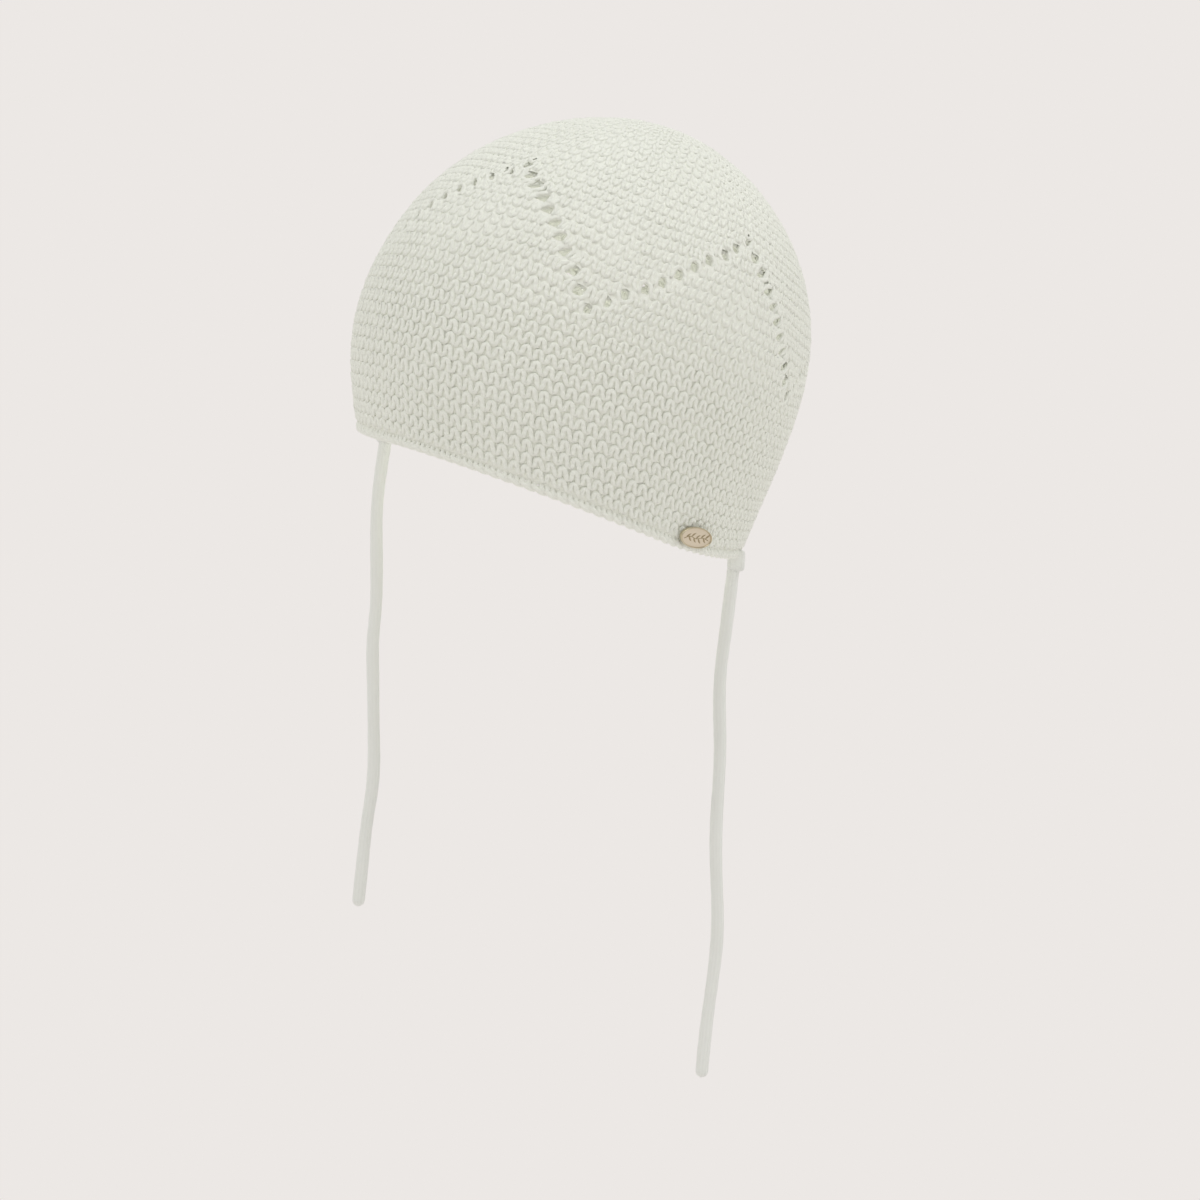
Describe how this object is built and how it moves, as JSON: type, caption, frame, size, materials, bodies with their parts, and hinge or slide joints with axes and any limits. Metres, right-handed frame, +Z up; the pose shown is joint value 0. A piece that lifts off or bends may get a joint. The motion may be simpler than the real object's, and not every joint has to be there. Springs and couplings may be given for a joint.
{
  "type": "winter hat",
  "caption": "Baby's knitted winter hat in cream garter stitch, with a zigzag of eyelets round the crown, two jersey ties that hang from the hem and a small oval gold badge.",
  "frame": {"origin": "the middle of the hem ring, where the head enters the hat", "axes": "+Z up, with the ties hanging along -Z; the lower side of the tilted hat, which has the badge and the near tie, lies towards +X; the pictured side faces -Y"},
  "size_m": [0.1526, 0.1564, 0.3163],
  "materials": {
    "garter_knit": "matte cream cotton, knitted in garter stitch",
    "jersey": "matte cream cotton jersey, smooth and fine",
    "pale_gold": "satin pale gold plating with a pink tone"
  },
  "bodies": {
    "root": {"hat_knit": "garter_knit", "near_tie_tab": "jersey", "far_tie_tab": "jersey", "near_tie": "jersey", "far_tie": "jersey", "badge": "pale_gold"}
  },
  "joints": []
}
